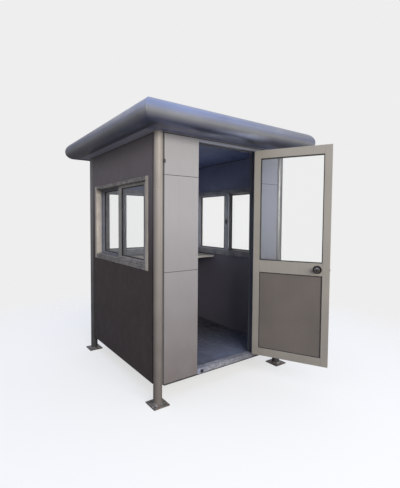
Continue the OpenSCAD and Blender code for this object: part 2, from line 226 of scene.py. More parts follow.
def bump(tree, shader, height_socket, depth):
    """Shades the surface as if it rose by depth metres where the height is 1."""
    raised = add_node(tree, "Bump", {"Height": height_socket, "Distance": depth, "Strength": 1.0})
    tree.links.new(raised.outputs["Normal"], shader.inputs["Normal"])


def coated(name, colour, roughness, metallic, shade=0.88, streak=0.25, patchy=0.4,
        grime=(0.16, 0.14, 0.12), grime_low=0.1, grime_top=0.9, grime_share=0.35):
    """A satin spray coat: faint clouds, rain streaks, a fine grain, and a darkening that grows downwards,
    grime on some parts and painted shade on others.
    """
    material, tree, shader = blank(name)
    base = (*colour, 1)
    darker = (*[c * shade for c in colour], 1)
    paint = over(tree, clouds(tree, 0.35, 0.35, 0.65), base, darker)
    runs = product(tree, clouds(tree, 0.03, 0.5, 0.75, (1, 1, 0.05)), streak)
    paint = over(tree, runs, paint, (*[c * 0.7 for c in colour], 1))
    patches = spread(tree, clouds(tree, 0.16, 0.3, 0.7), 0.0, 1.0, 1.0 - patchy, 1.0)
    # Darkening towards the bottom: grime, and on the walls and front panels painted shade.
    grime_and_shade_mask = product(tree, height_share(tree, grime_low, grime_top), patches)
    grime_and_shade_mask = product(tree, grime_and_shade_mask, grime_share)
    paint = over(tree, grime_and_shade_mask, paint, (*grime, 1))
    tree.links.new(paint, shader.inputs["Base Color"])
    rough = spread(tree, clouds(tree, 0.08, 0.3, 0.7), 0.0, 1.0, roughness - 0.05, roughness + 0.08)
    tree.links.new(rough, shader.inputs["Roughness"])
    shader.inputs["Metallic"].default_value = metallic
    bump(tree, shader, clouds(tree, 0.0012, 0.2, 0.8), 0.00006)
    return material


def dress(material, *names):
    """Gives CAD nodes their material."""
    for name in names:
        mesh = frame["nodes"][name].data
        mesh.materials.clear()
        mesh.materials.append(material)


def ease(width, *names):
    """Rounds the sharp edges of CAD nodes, as folded sheet and sawn sections have them."""
    for name in names:
        node = frame["nodes"][name]
        weld = node.modifiers.new("joined faces", "WELD")
        weld.merge_threshold = 0.00002
        rounding = node.modifiers.new("eased edges", "BEVEL")
        rounding.width = width
        rounding.segments = 2
        rounding.limit_method = "ANGLE"
        rounding.angle_limit = math.radians(40)
        rounding.harden_normals = True


corners = ("front_left", "front_right", "back_left", "back_right")
post_coat = coated("post_coat", (0.60, 0.55, 0.50), 0.32, 0.55, streak=0.2, patchy=0.2,
    grime=(0.20, 0.175, 0.155), grime_low=0.2, grime_top=2.1, grime_share=0.85)
# Painted shade: a duller, darker copy of the post coat for the posts that stand in shade.
shaded_post_coat = coated("shaded_post_coat", (0.33, 0.33, 0.345), 0.36, 0.5, streak=0.3, patchy=0.3,
    grime=(0.10, 0.095, 0.085), grime_low=0.2, grime_top=2.1, grime_share=0.9)
dress(post_coat, "post_front_left")
dress(shaded_post_coat, "post_front_right", "post_back_left", "post_back_right")

# ---------------------------------------------------------------- base plates
# Thick square steel plates with four anchor holes each, welded round the foot of each
# post, painted grey, with patches of rust.
post_radius = (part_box("post_front_left")[1].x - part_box("post_front_left")[0].x) / 2
post_centres = [sum(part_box("post_" + corner), Vector()) / 2 for corner in corners]
plate_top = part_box("base_plates")[1].z

plate_paint, tree, shader = blank("plate_paint")
grey = over(tree, clouds(tree, 0.05), (0.23, 0.205, 0.18, 1), (0.135, 0.12, 0.105, 1))
rust = over(tree, clouds(tree, 0.012), (0.24, 0.10, 0.045, 1), (0.09, 0.04, 0.022, 1))
rusting = clouds(tree, 0.045, 0.55, 0.66, detail=8.0)
grey = over(tree, clouds(tree, 0.02, 0.55, 0.7), grey, (0.42, 0.40, 0.38, 1))
tree.links.new(over(tree, rusting, grey, rust), shader.inputs["Base Color"])
tree.links.new(spread(tree, rusting, 0.0, 1.0, 0.42, 0.85), shader.inputs["Roughness"])
shader.inputs["Metallic"].default_value = 0.25
bump(tree, shader, clouds(tree, 0.006, 0.3, 0.7, detail=6.0), 0.0003)
dress(plate_paint, "base_plates")


def finish_piece(name, bm, material, body="booth", smooth=False):
    """Makes the bmesh an object of its own that rides on a body."""
    mesh = bpy.data.meshes.new(name)
    if smooth:
        for face in bm.faces:
            face.smooth = True
        for edge in bm.edges:
            edge.smooth = edge.calc_face_angle(0) < math.radians(38)
    bm.to_mesh(mesh)
    bm.free()
    piece = bpy.data.objects.new(name, mesh)
    bpy.context.scene.collection.objects.link(piece)
    mesh.materials.append(material)
    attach(piece, body)
    return piece


def lathe(bm, outline, place, steps=48):
    """Spins an outline of (radius, height) points about the Z axis, then moves it to its place.

    An outline that starts on the axis ends there too, and any other is closed to a ring.
    """
    points = [bm.verts.new((r, 0, h)) for r, h in outline]
    lines = [bm.edges.new(pair) for pair in zip(points, points[1:])]
    if outline[0][0] > 0:
        lines.append(bm.edges.new((points[-1], points[0])))
    bmesh.ops.spin(bm, geom=points + lines, cent=(0, 0, 0), axis=(0, 0, 1),
        angle=2 * math.pi, steps=steps, use_merge=True)
    faces = set()
    stack = list(points)
    touched = set(points)
    while stack:
        for face in stack.pop().link_faces:
            if face not in faces:
                faces.add(face)
                for vert in face.verts:
                    if vert not in touched:
                        touched.add(vert)
                        stack.append(vert)
    bmesh.ops.transform(bm, matrix=place, verts=list(touched))
    bmesh.ops.remove_doubles(bm, verts=list(touched), dist=1e-6)
    bmesh.ops.recalc_face_normals(bm, faces=[face for face in faces if face.is_valid])


weld_bm = bmesh.new()
weld_leg = 0.007
weld_ripples, ripple_depth = 46, 0.0011
bead = [(post_radius - 0.001, weld_leg), (post_radius + 0.002, weld_leg),
    (post_radius + weld_leg * 0.75, weld_leg * 0.75), (post_radius + weld_leg, 0.002),
    (post_radius + weld_leg, 0.0), (post_radius - 0.001, 0.0)]
for centre in post_centres:
    lathe(weld_bm, bead, Matrix.Translation((centre.x, centre.y, plate_top)), 120)
for vert in weld_bm.verts:
    centre = min(post_centres, key=lambda c: (c.xy - vert.co.xy).length)
    out = vert.co.xy - centre.xy
    ripple = 0.5 + 0.5 * math.sin(math.atan2(out.y, out.x) * weld_ripples)
    if out.length > post_radius + 0.001:
        vert.co.xy += out.normalized() * ripple_depth * ripple
finish_piece("foot_welds", weld_bm, plate_paint, smooth=True)

# ---------------------------------------------------------------- floor
# A steel frame under a thin sheet floor. The sheet is a dark grey, scuffed by boots. Its
# front is painted lighter and bluer, in place of daylight from the doorway.
frame_primer = coated("frame_primer", (0.13, 0.135, 0.145), 0.55, 0.1)
dress(frame_primer, "floor_frame")
ease(0.001, "floor_frame")

floor_sheet, tree, shader = blank("floor_sheet")
tone = over(tree, clouds(tree, 0.3), (0.066, 0.066, 0.074, 1), (0.050, 0.050, 0.056, 1))
daylit = spread(tree, place_along(tree, "Y"), -0.78, 0.1, 0.85, 0.0)
tone = over(tree, product(tree, daylit, clouds(tree, 0.4, 0.2, 0.5)), tone, (0.175, 0.20, 0.285, 1))
rubbed = product(tree, clouds(tree, 0.05, 0.5, 0.8, (1, 0.25, 1)), 0.3)
tone = over(tree, rubbed, tone, (0.26, 0.27, 0.31, 1))
scuffs = clouds(tree, 0.012, 0.64, 0.72, (0.3, 1, 1), 6.0)
tree.links.new(over(tree, scuffs, tone, (0.035, 0.037, 0.045, 1)), shader.inputs["Base Color"])
tree.links.new(spread(tree, clouds(tree, 0.06), 0.0, 1.0, 0.35, 0.6), shader.inputs["Roughness"])
bump(tree, shader, clouds(tree, 0.004, 0.3, 0.7), 0.00015)
dress(floor_sheet, "floor_panel")
ease(0.0008, "floor_panel")

# ---------------------------------------------------------------- threshold
# An aluminium section across the doorway, with a ribbed tread plate in three lengths and
# a zinc end plate with a bolt hole at its left end. It is painted darker towards the
# right, in place of shade.
sill_low, sill_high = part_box("threshold")
mill_aluminium, tree, shader = blank("mill_aluminium")
tone = over(tree, clouds(tree, 0.06), (0.46, 0.47, 0.52, 1), (0.34, 0.35, 0.40, 1))
marks = product(tree, clouds(tree, 0.010, 0.48, 0.60, detail=7.0), 0.8)
tone = over(tree, marks, tone, (0.13, 0.13, 0.15, 1))
shaded = spread(tree, place_along(tree, "X"), sill_low.x, sill_high.x, 0.0, 0.6)
tone = over(tree, product(tree, shaded, clouds(tree, 0.15, 0.2, 0.5)), tone, (0.11, 0.11, 0.13, 1))
tree.links.new(tone, shader.inputs["Base Color"])
shader.inputs["Metallic"].default_value = 0.3
tree.links.new(spread(tree, clouds(tree, 0.02), 0.0, 1.0, 0.34, 0.6), shader.inputs["Roughness"])
bump(tree, shader, clouds(tree, 0.003, 0.3, 0.7), 0.0001)
dress(mill_aluminium, "threshold")
ease(0.0012, "threshold", "door_head")


def block(bm, low, high, rounding=0.001, segments=2):
    """A box from corner to corner with eased edges."""
    low, high = Vector(low), Vector(high)
    size = Matrix.Diagonal((*(high - low), 1))
    made = bmesh.ops.create_cube(bm, size=1.0, matrix=Matrix.Translation((low + high) / 2) @ size)
    edges = {edge for vert in made["verts"] for edge in vert.link_edges}
    bmesh.ops.bevel(bm, geom=list(edges), offset=rounding, segments=segments, profile=0.5,
        affect="EDGES", material=-1)


tread_bm = bmesh.new()
length = sill_high.x - sill_low.x
end_plate, rib_pitch, tread_face = 0.085, 0.012, sill_low.y - 0.003
joints = [sill_low.x + end_plate, sill_low.x + length * 0.62, sill_low.x + length * 0.86,
    sill_high.x - 0.001]
for start, end in zip(joints, joints[1:]):
    block(tread_bm, (start + 0.0022, tread_face, sill_low.z + 0.004),
        (end - 0.0022, sill_low.y + 0.0005, sill_high.z), 0.001)
    for rib in range(4):
        y = sill_low.y + 0.008 + rib * rib_pitch
        block(tread_bm, (start + 0.003, y, sill_high.z - 0.001),
            (end - 0.003, y + 0.005, sill_high.z + 0.0015), 0.0007)
finish_piece("threshold_tread", tread_bm, mill_aluminium)


def two_toned(name, light, dark, patch, metallic, roughness, grain, depth, drawn=(1, 1, 1)):
    """Fittings and rubber: patches between two tones, and a fine grain that may be drawn out."""
    material, tree, shader = blank(name)
    tree.links.new(over(tree, clouds(tree, patch), (*light, 1), (*dark, 1)), shader.inputs["Base Color"])
    shader.inputs["Metallic"].default_value = metallic
    shader.inputs["Roughness"].default_value = roughness
    bump(tree, shader, clouds(tree, grain, 0.3, 0.7, drawn), depth)
    return material


bolt_steel = two_toned("bolt_steel", (0.50, 0.49, 0.48), (0.34, 0.33, 0.32), patch=0.003,
    metallic=0.9, roughness=0.36, grain=0.0008, depth=0.00003)


def screw_head(bm, place, radius):
    """A countersunk screw head with a round socket, a little proud of its surface."""
    lathe(bm, [(0.0, -0.0003), (radius, -0.0003), (radius, 0.0), (radius * 0.95, 0.0004),
        (radius * 0.45, 0.0007), (radius * 0.36, 0.0001), (0.0, 0.0001)], place, 20)


tread_screws = bmesh.new()
for share in (0.16, 0.30, 0.44, 0.58, 0.66, 0.82, 0.90, 0.97):
    x = sill_low.x + length * share
    screw_head(tread_screws, Matrix.Translation((x, tread_face, sill_low.z + 0.024))
        @ Matrix.Rotation(math.pi / 2, 4, "X"), 0.0042)
finish_piece("threshold_screws", tread_screws, bolt_steel)

zinc = two_toned("zinc", (0.42, 0.45, 0.58), (0.30, 0.32, 0.42), patch=0.012,
    metallic=0.4, roughness=0.45, grain=0.002, depth=0.00006)
bracket_bm = bmesh.new()
block(bracket_bm, (sill_low.x + 0.002, tread_face, sill_low.z + 0.002),
    (sill_low.x + end_plate - 0.002, sill_low.y - 0.0002, sill_high.z - 0.002), 0.0008)
finish_piece("threshold_end_plate", bracket_bm, zinc)
washer_bm = bmesh.new()
bolt_place = Matrix.Translation((sill_low.x + 0.052, tread_face, sill_low.z + 0.022))
bolt_place = bolt_place @ Matrix.Rotation(math.pi / 2, 4, "X")
washer_r, bolt_hole_r = 0.0205, 0.0120
lathe(washer_bm, [(washer_r, 0.0), (washer_r, 0.0012), (washer_r - 0.001, 0.0018),
    (bolt_hole_r + 0.0005, 0.0018), (bolt_hole_r, 0.0012), (bolt_hole_r, 0.0)], bolt_place, 40)
finish_piece("threshold_washer", washer_bm, bolt_steel, smooth=True)
# The bolt hole is a flat near-black disc, painted shade for the depth of the hole.
socket_bm = bmesh.new()
lathe(socket_bm, [(0.0, 0.0006), (bolt_hole_r, 0.0006), (bolt_hole_r, 0.0), (0.0, 0.0)],
    bolt_place, 32)
hole_shade, tree, shader = blank("hole_shade")
tone = over(tree, clouds(tree, 0.004), (0.012, 0.012, 0.014, 1), (0.022, 0.021, 0.021, 1))
tree.links.new(tone, shader.inputs["Base Color"])
shader.inputs["Roughness"].default_value = 0.9
finish_piece("threshold_bolt_hole", socket_bm, hole_shade)

# ---------------------------------------------------------------- front panels
# Composite panels, silver-grey in front and blue-grey inside, hung one over the other on
# each side of the doorway with narrow joints. Those on the right and the door head are
# painted cooler and darker, in place of shade, and all darken towards the floor: painted shade.
inside_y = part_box("front_panel_left_low")[1].y
inside_x = -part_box("left_wall")[1].x


def indoors(tree, reach_x, reach_y):
    """1 where a point lies nearer the middle than reach_x and reach_y, and 0 elsewhere."""
    near = []
    for axis, limit in (("X", reach_x), ("Y", reach_y)):
        size = add_node(tree, "Math", {0: place_along(tree, axis)}, operation="ABSOLUTE").outputs[0]
        near.append(add_node(tree, "Math", {0: size, 1: limit}, operation="LESS_THAN").outputs[0])
    return product(tree, *near)


def shader_and_paint(material):
    """A material's tree, its shader, and the colour that goes into it."""
    shader = material.node_tree.nodes["Principled BSDF"]
    return material.node_tree, shader, shader.inputs["Base Color"].links[0].from_socket


def two_faced(name, colour, roughness, metallic, lining_and_sky_light, **grime):
    """The coat outside, and on all that lies within the walls a blue lining, greyer low down; its blue is
    partly painted sky light.
    """
    material = coated(name, colour, roughness, metallic, **grime)
    tree, shader, painted = shader_and_paint(material)
    within = indoors(tree, inside_x + 0.002, 0.002 - inside_y)
    lining_and_sky_tone = over(tree, clouds(tree, 0.25), (*lining_and_sky_light, 1), (*[c * 0.88 for c in lining_and_sky_light], 1))
    lining_and_sky_tone = over(tree, height_share(tree, 0.9, 1.9), lining_and_sky_tone, (0.185, 0.178, 0.215, 1))
    tree.links.new(over(tree, within, painted, lining_and_sky_tone), shader.inputs["Base Color"])
    return material


# The lining's own grey is made bluer here: partly painted sky light inside the booth.
lining_and_sky_light = (0.20, 0.225, 0.36)
# The front coat darkens towards the feet of the panels, which is painted shade.
front_coat = two_faced("front_coat", (0.45, 0.44, 0.45), 0.42, 0.35, lining_and_sky_light, shade=0.97,
    grime=(0.23, 0.205, 0.20), grime_low=0.2, grime_top=1.6, grime_share=1.0, streak=0.1, patchy=0.12)
shaded_coat = two_faced("shaded_coat", (0.38, 0.40, 0.47), 0.42, 0.35, lining_and_sky_light, shade=0.97,
    grime=(0.23, 0.21, 0.215), grime_low=0.2, grime_top=1.6, grime_share=0.9, streak=0.1, patchy=0.12)
levels = ("low", "middle", "top")
left_panels = ["front_panel_left_" + level for level in levels]
right_panels = ["front_panel_right_" + level for level in levels]
dress(front_coat, *left_panels)
dress(shaded_coat, *right_panels, "door_head")
ease(0.0016, *left_panels, *right_panels)

# ---------------------------------------------------------------- door jambs
# Each side of the doorway is lined with a thin flat strip, painted dark grey, that runs
# from the threshold to the door head.
jamb_paint = coated("jamb_paint", (0.105, 0.115, 0.16), 0.5, 0.2)
head_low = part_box("door_head")[0].z
liner_bm = bmesh.new()
for x0, x1 in ((sill_low.x, sill_low.x + 0.001), (sill_high.x - 0.001, sill_high.x)):
    block(liner_bm, (x0, sill_low.y + 0.003, sill_high.z), (x1, inside_y + 0.0005, head_low),
        0.0004, 1)
finish_piece("door_jamb_liners", liner_bm, jamb_paint)

# ---------------------------------------------------------------- joints and clips
# Black sealant fills the joints between the front panels, set a little back, and runs
# under them and the threshold. A small dark cable clip sits beside the front left post.
# The top channels are painted dark, as painted shade in the gap under the soffit; the door
# stops and corner seals are dark too.
black_rubber = two_toned("black_rubber", (0.028, 0.028, 0.030), (0.055, 0.054, 0.053), patch=0.02,
    metallic=0.0, roughness=0.62, grain=0.0015, depth=0.0001)
gap_shade_and_stop_paint = coated("gap_shade_and_stop_paint", (0.10, 0.105, 0.125), 0.5, 0.1)
dress(gap_shade_and_stop_paint, "top_channels", "door_stops")
corner_coat = coated("corner_coat", (0.11, 0.108, 0.11), 0.5, 0.2)
dress(corner_coat, "corner_seals")

seal_bm = bmesh.new()
for side in ("left", "right"):
    for level in ("low", "middle"):
        low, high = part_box(f"front_panel_{side}_{level}")
        block(seal_bm, (low.x + 0.001, low.y + 0.0020, high.z - 0.0042),
            (high.x - 0.001, low.y + 0.009, high.z + 0.0002), 0.0006)
finish_piece("panel_joint_seals", seal_bm, black_rubber)

foot_bm = bmesh.new()
seal_rises = (("front_panel_left_low", 0.0065), ("front_panel_right_low", 0.0065), ("threshold", 0.0045))
for name, rise in seal_rises:
    low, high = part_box(name)
    block(foot_bm, (low.x, low.y - 0.0012, low.z - 0.006), (high.x, low.y + 0.030, low.z + rise), 0.0008)
finish_piece("foot_seal", foot_bm, black_rubber)

clip_bm = bmesh.new()
low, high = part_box("front_panel_left_top")
clip_z = low.z + 0.11
block(clip_bm, (low.x - 0.004, low.y - 0.004, clip_z - 0.016),
    (low.x + 0.010, low.y + 0.003, clip_z + 0.016), 0.0015)
block(clip_bm, (low.x - 0.008, low.y - 0.007, clip_z - 0.006),
    (low.x + 0.004, low.y - 0.001, clip_z + 0.006), 0.0015)
finish_piece("cable_clip", clip_bm, corner_coat)

# ---------------------------------------------------------------- side and back walls
# One composite panel a side with its window hole cut in it, a darker grey than the front,
# and darker still towards the floor, partly grime and partly painted shade.
wall_coat = two_faced("wall_coat", (0.26, 0.24, 0.265), 0.5, 0.2, lining_and_sky_light, shade=0.95,
    grime=(0.076, 0.062, 0.058), grime_low=1.15, grime_top=2.2, grime_share=1.0, streak=0.0, patchy=0.06)
dress(wall_coat, "left_wall", "right_wall", "back_wall")
ease(0.0016, "left_wall", "right_wall", "back_wall")

# ---------------------------------------------------------------- windows
# Sliding windows of anodised aluminium sections, screwed into the wall holes. The frame's
# head and sill run between its jambs and carry track ribs. Each sash has tall stiles,
# low rails, rubber gaskets round its pane, and brushes where it meets the frame.


def anodised(name, light, dark, speck_low, speck_share):
    """Anodised section: a dull satin, black specks of grime, and a cooler, darker tone in the room, which
    is painted shade.
    """
    material, tree, shader = blank(name)
    tone = over(tree, clouds(tree, 0.12), (*light, 1), (*dark, 1))
    specks = clouds(tree, 0.009, speck_low - 0.01, speck_low + 0.10, detail=7.0)
    tone = over(tree, product(tree, specks, speck_share), tone, (0.10, 0.095, 0.09, 1))
    within = indoors(tree, inside_x + 0.01, inside_x + 0.01)
    # Indoors the tone is multiplied cooler and darker: painted shade.
    indoor_shade = add_node(tree, "MixRGB", {"Fac": 1.0, "Color1": tone, "Color2": (0.70, 0.77, 0.93, 1)},
        blend_type="MULTIPLY").outputs["Color"]
    tree.links.new(over(tree, within, tone, indoor_shade), shader.inputs["Base Color"])
    shader.inputs["Metallic"].default_value = 0.35
    tree.links.new(spread(tree, specks, 0.0, 1.0, 0.36, 0.7), shader.inputs["Roughness"])
    bump(tree, shader, clouds(tree, 0.002, 0.3, 0.7), 0.00008)
    return material


# The jambs get a light warm beige, painted light for the light that falls on them; the head and sill get
# the darker track tone.
lit_jamb_alu = anodised("lit_jamb_alu", (0.76, 0.69, 0.60), (0.66, 0.60, 0.53), 0.64, 0.25)
window_track = anodised("window_track", (0.50, 0.475, 0.45), (0.36, 0.345, 0.335), 0.49, 0.9)
sash_alu = anodised("sash_alu", (0.50, 0.485, 0.465), (0.42, 0.41, 0.40), 0.60, 0.35)

clear_glass, tree, shader = blank("clear_glass")
shader.inputs["Base Color"].default_value = (0.99, 1.0, 0.995, 1)
shader.inputs["Transmission Weight"].default_value = 1.0
shader.inputs["IOR"].default_value = 1.2
film = spread(tree, clouds(tree, 0.25, 0.3, 0.8), 0.0, 1.0, 0.0, 0.006)
tree.links.new(film, shader.inputs["Roughness"])

turns = {"back": 0, "left": math.pi / 2, "right": -math.pi / 2}
jamb, foot, head = 0.045, 0.050, 0.034
stile, rail, lap = 0.070, 0.028, 0.066
sash_thick = 0.018
rib_thick, rib_high = 0.002, 0.009
gasket, brush, brush_out = 0.009, 0.006, 0.002
window_screw_in, window_screw_r = 0.016, 0.0040
drain_from_end, drain_half = 0.153, 0.011


def section(bm, outline, start, end, axis):
    """Draws an outline of 2-D points out along an axis, from start to end."""
    others = {"X": (1, 2), "Z": (0, 1)}[axis]
    along = {"X": 0, "Z": 2}[axis]
    ring = []
    for point in outline:
        co = [0, 0, 0]
        co[along] = start
        co[others[0]], co[others[1]] = point
        ring.append(bm.verts.new(co))
    face = bm.faces.new(ring)
    grown = bmesh.ops.extrude_face_region(bm, geom=[face])
    verts = [part for part in grown["geom"] if isinstance(part, bmesh.types.BMVert)]
    shift = [0, 0, 0]
    shift[along] = end - start
    bmesh.ops.translate(bm, vec=shift, verts=verts)


for side, angle in turns.items():
    turned = Matrix.Rotation(angle, 4, "Z")
    back = turned.inverted()
    cad_corners = [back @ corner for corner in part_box(side + "_window_frame")]
    half = max(abs(corner.x) for corner in cad_corners)
    inner = min(corner.y for corner in cad_corners)
    outer = max(corner.y for corner in cad_corners)
    bottom = min(corner.z for corner in cad_corners)
    top = max(corner.z for corner in cad_corners)
    hole = half - jamb
    sash_low, sash_high = bottom + foot, top - head
    sash_corners = [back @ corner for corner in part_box(side + "_window_sashes")]
    near_face = min(corner.y for corner in sash_corners)
    far_face = max(corner.y for corner in sash_corners)
    tracks = [(near_face, near_face + sash_thick), (far_face - sash_thick, far_face)]

    bm = bmesh.new()
    for sign in (-1, 1):
        edge, inner_edge = sorted((sign * half, sign * hole))
        section(bm, [(edge, inner), (inner_edge, inner), (inner_edge, outer), (edge, outer)],
            bottom, top, "Z")
    for z, out in ((sash_low, bottom), (sash_high, top)):
        rise = rib_high if out == bottom else -rib_high
        ribs = [tracks[0][1] + 0.001, tracks[1][0] - rib_thick - 0.001, tracks[1][1] + 0.001]
        outline = [(inner, out), (inner, z + rise), (inner + rib_thick, z + rise), (inner + rib_thick, z)]
        for rib in ribs:
            outline += [(rib, z), (rib, z + rise), (rib + rib_thick, z + rise), (rib + rib_thick, z)]
        outline += [(outer, z), (outer, out)]
        section(bm, outline, -hole + 0.0003, hole - 0.0003, "X")
    for face in bm.faces:
        face.material_index = int(all(abs(vert.co.x) < hole - 0.0001 for vert in face.verts))
    bmesh.ops.recalc_face_normals(bm, faces=bm.faces)
    sharp = [edge for edge in bm.edges if edge.calc_face_angle(0) > 1]
    bmesh.ops.bevel(bm, geom=sharp, offset=0.0006, segments=1, profile=0.5, affect="EDGES", material=-1)
    bmesh.ops.transform(bm, matrix=turned, verts=bm.verts)
    window_frame = finish_piece(side + "_window_frame_sections", bm, lit_jamb_alu)
    window_frame.data.materials.append(window_track)
    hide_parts(side + "_window_frame")

    rear = {"left": 1, "right": -1, "back": -1}[side]
    bm = bmesh.new()
    gaskets = bmesh.new()
    for track, hand in ((0, rear), (1, -rear)):
        near, far = tracks[track]
        meet = -lap / 2
        for x0, x1 in ((meet, meet + stile), (hole - stile, hole)):
            block(bm, (min(hand * x0, hand * x1), near, sash_low),
                (max(hand * x0, hand * x1), far, sash_high), 0.0012)
        pane = sorted((hand * (meet + stile), hand * (hole - stile)))
        for z0, z1 in ((sash_low, sash_low + rail), (sash_high - rail, sash_high)):
            block(bm, (pane[0] + 0.0003, near, z0), (pane[1] - 0.0003, far, z1), 0.0012)
        for y0, y1 in ((near + 0.002, near + 0.0065), (far - 0.0065, far - 0.002)):
            for x0, x1 in ((pane[0], pane[0] + gasket), (pane[1] - gasket, pane[1])):
                block(gaskets, (x0, y0, sash_low + rail), (x1, y1, sash_high - rail), 0.0012)
            for z0 in (sash_low + rail, sash_high - rail - gasket):
                block(gaskets, (pane[0] + gasket, y0, z0), (pane[1] - gasket, y1, z0 + gasket), 0.0012)
        faces = ((near - brush_out, near), (far, far + brush_out))
        lying = sorted((hand * (meet + 0.002), hand * hole))
        for z0 in (sash_low, sash_high - brush):
            for y0, y1 in faces:
                block(gaskets, (lying[0], y0, z0), (lying[1], y1, z0 + brush), 0.0006)
        upright = sorted((hand * (hole - brush), hand * hole))
        for y0, y1 in faces:
            block(gaskets, (upright[0], y0, sash_low + brush), (upright[1], y1, sash_high - brush), 0.0006)
    bmesh.ops.transform(bm, matrix=turned, verts=bm.verts)
    bmesh.ops.transform(gaskets, matrix=turned, verts=gaskets.verts)

    fixings = bmesh.new()
    out_of_wall = Matrix.Rotation(-math.pi / 2, 4, "X")
    for sign in (-1, 1):
        for share in (0.08, 0.5, 0.92):
            z = bottom + (top - bottom) * share
            spot = Matrix.Translation((sign * (half - window_screw_in), outer, z))
            screw_head(fixings, spot @ out_of_wall, window_screw_r)
    bmesh.ops.transform(fixings, matrix=turned, verts=fixings.verts)
    finish_piece(side + "_window_screws", fixings, bolt_steel)

    # The drain slots are thin near-black blocks, painted shade for the slots.
    drains = bmesh.new()
    for x in (-half + drain_from_end, half - drain_from_end):
        block(drains, (x - drain_half, outer - 0.0005, bottom + 0.018),
            (x + drain_half, outer + 0.0004, bottom + 0.024), 0.0002, 1)
    bmesh.ops.transform(drains, matrix=turned, verts=drains.verts)
    finish_piece(side + "_window_drains", drains, hole_shade)

    catch = bmesh.new()
    catch_z = (sash_low + sash_high) / 2
    catch_back = near_face - 0.004
    block(catch, (-0.009, catch_back, catch_z - 0.030), (0.009, near_face, catch_z + 0.030), 0.0012)
    lathe(catch, [(0.0, 0.0), (0.0125, 0.0), (0.0125, 0.0065), (0.0105, 0.009), (0.0, 0.0098)],
        Matrix.Translation((0, catch_back, catch_z)) @ Matrix.Rotation(math.pi / 2, 4, "X"), 32)
    block(catch, (-0.004, near_face - 0.0125, catch_z),
        (0.004, near_face - 0.0065, catch_z + 0.040), 0.0018)
    bmesh.ops.transform(catch, matrix=turned, verts=catch.verts)
    finish_piece(side + "_window_catch", catch, black_rubber)

    sashes = finish_piece(side + "_sash_sections", bm, sash_alu)
    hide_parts(side + "_window_sashes")
    finish_piece(side + "_window_gaskets", gaskets, black_rubber)
    dress(clear_glass, side + "_window_glass")

# ---------------------------------------------------------------- desk
# A thin pale board along the back wall, faced with laminate and edged in the same colour.
desk_board, tree, shader = blank("desk_board")
tone = over(tree, clouds(tree, 0.2), (0.62, 0.60, 0.56, 1), (0.55, 0.53, 0.49, 1))
tone = over(tree, clouds(tree, 0.01, 0.62, 0.7, (0.2, 1, 1)), tone, (0.42, 0.40, 0.36, 1))
tree.links.new(tone, shader.inputs["Base Color"])
shader.inputs["Roughness"].default_value = 0.4
bump(tree, shader, clouds(tree, 0.001, 0.3, 0.7), 0.00004)
dress(desk_board, "desk")
ease(0.002, "desk")

# ---------------------------------------------------------------- roof
# A flat roof: rolled sheet edges mitred at the corners round a deck and a plain soffit,
# which is the ceiling too, with a thin aluminium trim where the walls meet it. Two lap
# strips are screwed down on the deck, and sealant runs round its rim.
roof_coat = coated("roof_coat", (0.30, 0.315, 0.36), 0.34, 0.8, grime_share=0.0, streak=0.1)
tree, shader, painted = shader_and_paint(roof_coat)
roll_low, roll_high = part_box("roof_edge_front")
# Bands of tone up the roll, weaker behind and to the right, painted in place of the bright
# line and the dark foot that a glossy roll shows under an open sky.
up_roll = spread(tree, place_along(tree, "Z"), roll_low.z, roll_high.z)
bands = add_node(tree, "ValToRGB", {"Fac": up_roll})
bands.color_ramp.elements[0].color = (0.42, 0.47, 0.72, 1)
bands.color_ramp.elements[1].color = (1.5, 1.4, 1.3, 1)
band_steps = ((0.12, (0.70, 0.75, 1.0)), (0.24, (1.5, 1.5, 1.6)), (0.37, (2.35, 2.35, 2.2)),
    (0.55, (1.3, 1.35, 1.6)), (0.70, (1.1, 1.1, 1.15)))
for height, colour in band_steps:
    bands.color_ramp.elements.new(height).color = (*colour, 1)
to_front = spread(tree, place_along(tree, "Y"), roll_low.y, roll_low.y + 0.14, 1.0, 0.45)
to_left = spread(tree, place_along(tree, "X"), roll_low.x, roll_high.x, 1.15, 0.75)
banded = add_node(tree, "MixRGB", {"Fac": product(tree, to_front, to_left), "Color1": painted,
    "Color2": bands.outputs["Color"]}, blend_type="MULTIPLY")
tree.links.new(banded.outputs["Color"], shader.inputs["Base Color"])
edges = ["roof_edge_" + side for side in ("front", "back", "left", "right")]
dress(roof_coat, *edges, "roof_deck")
# The ceiling lining's blue is partly painted sky light.
soffit_coat = two_faced("soffit_coat", (0.60, 0.61, 0.74), 0.48, 0.1, (0.165, 0.21, 0.41),
    grime_share=0.0)
tree, shader, painted = shader_and_paint(soffit_coat)
# The strip before the front wall is painted darker, for the shade under the roll.
in_shade = spread(tree, place_along(tree, "Y"), -0.80, -0.72, 1.0, 0.0)
tree.links.new(over(tree, in_shade, painted, (0.24, 0.26, 0.42, 1)), shader.inputs["Base Color"])
dress(soffit_coat, "soffit")
ease(0.0012, "soffit", "roof_deck")
ease(0.0015, *edges)

